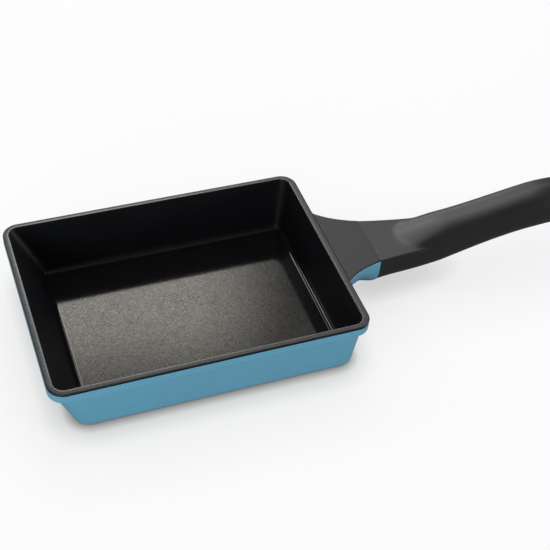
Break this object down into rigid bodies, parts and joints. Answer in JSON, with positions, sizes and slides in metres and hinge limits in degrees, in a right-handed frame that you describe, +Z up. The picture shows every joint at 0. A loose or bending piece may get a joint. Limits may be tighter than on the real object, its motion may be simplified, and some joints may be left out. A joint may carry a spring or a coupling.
{
  "type": "tamagoyaki pan",
  "caption": "Rectangular cast rolled-omelette pan with a nonstick hollow, a coloured outside, a leaning far wall, a cast neck and a moulded handle with a hanging hole.",
  "frame": {"origin": "on the resting plane, under the middle of the rim", "axes": "+X from the dish to the handle, +Y across the dish, +Z up"},
  "size_m": [0.3789, 0.14, 0.0547],
  "materials": {
    "cast_aluminium": "satin, ground flat on the base",
    "blue_enamel": "baked enamel, semi-gloss",
    "nonstick": "dark grey nonstick coat, fine grain, semi-gloss",
    "phenolic": "moulded phenolic, fine satin",
    "steel": "zinc-plated steel"
  },
  "bodies": {
    "root": {"dish_casting": "cast_aluminium", "outer_coat": "blue_enamel", "nonstick_coat": "nonstick", "threaded_insert": "steel", "handle": "phenolic", "flat_washer": "steel", "spring_washer": "steel", "handle_screw": "steel"}
  },
  "joints": []
}
